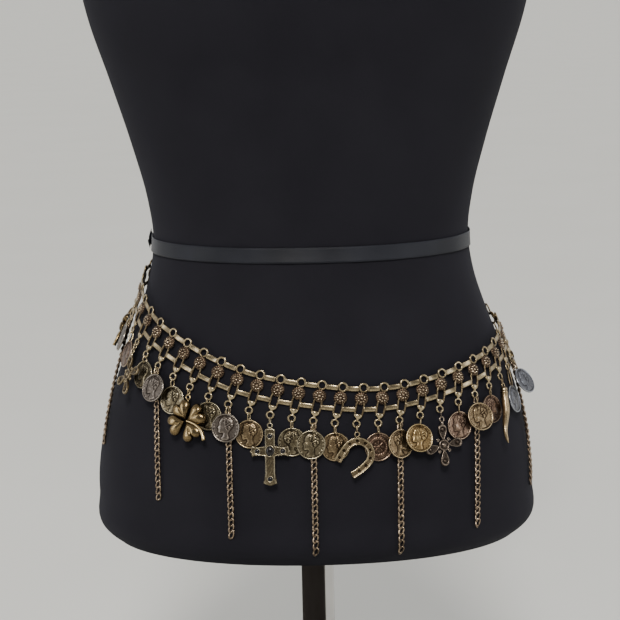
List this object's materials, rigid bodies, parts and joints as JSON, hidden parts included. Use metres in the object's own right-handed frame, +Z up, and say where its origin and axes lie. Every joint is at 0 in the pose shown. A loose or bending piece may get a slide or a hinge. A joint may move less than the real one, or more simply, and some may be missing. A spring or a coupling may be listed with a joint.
{
  "type": "coin charm hip belt on dress form",
  "caption": "Hip belt of antique metal links with rosettes, hanging coins, charms and chains, worn low on a limbless black dress form that stands on a round base.",
  "frame": {"origin": "centre of the base's underside, on the floor", "axes": "+Z up along the pole, -Y towards the front of the form, +X towards the viewer's right as seen from the front"},
  "size_m": [0.3522, 0.28, 0.8883],
  "materials": {
    "bronze": "antiqued bronze plating, dark in the recesses and worn bright on the edges",
    "gold": "satin antique gold plating",
    "jersey": "matte black jersey stretched over the hard form",
    "ribbon": "black satin tape",
    "steel": "polished chrome plating"
  },
  "bodies": {
    "root": {"belt_length_1": "bronze", "belt_length_2": "bronze", "belt_length_3": "bronze", "belt_length_4": "bronze", "belt_length_5": "bronze", "belt_length_6": "bronze", "charm_01_clover": "gold", "charm_05_petal_cross": "bronze", "charm_09_horn": "gold", "charm_13_cross": "bronze", "charm_17_horseshoe": "bronze", "charm_21_clover": "gold", "charm_25_petal_cross": "bronze", "charm_29_clover": "gold", "charm_33_cross": "bronze", "charm_37_horseshoe": "bronze", "charm_41_petal_cross": "bronze", "charm_45_horn": "gold", "clasp": "gold", "coin_02": "bronze", "coin_03": "bronze", "coin_04": "bronze", "coin_06": "bronze", "coin_07": "bronze", "coin_08": "bronze", "coin_10": "bronze", "coin_11": "bronze", "coin_12": "bronze", "coin_14": "bronze", "coin_15": "bronze", "coin_16": "bronze", "coin_18": "bronze", "coin_19": "bronze", "coin_20": "bronze", "coin_22": "bronze", "coin_23": "bronze", "coin_24": "bronze", "coin_26": "bronze", "coin_27": "bronze", "coin_28": "bronze", "coin_30": "bronze", "coin_31": "bronze", "coin_32": "bronze", "coin_34": "bronze", "coin_35": "bronze", "coin_36": "bronze", "coin_38": "bronze", "coin_39": "bronze", "coin_40": "bronze", "coin_42": "bronze", "coin_43": "bronze", "coin_44": "bronze", "coin_46": "bronze", "coin_47": "bronze", "coin_48": "bronze", "extender": "bronze", "form_cap": "jersey", "form_torso": "jersey", "stand": "steel", "waist_tape": "ribbon"}
  },
  "joints": []
}
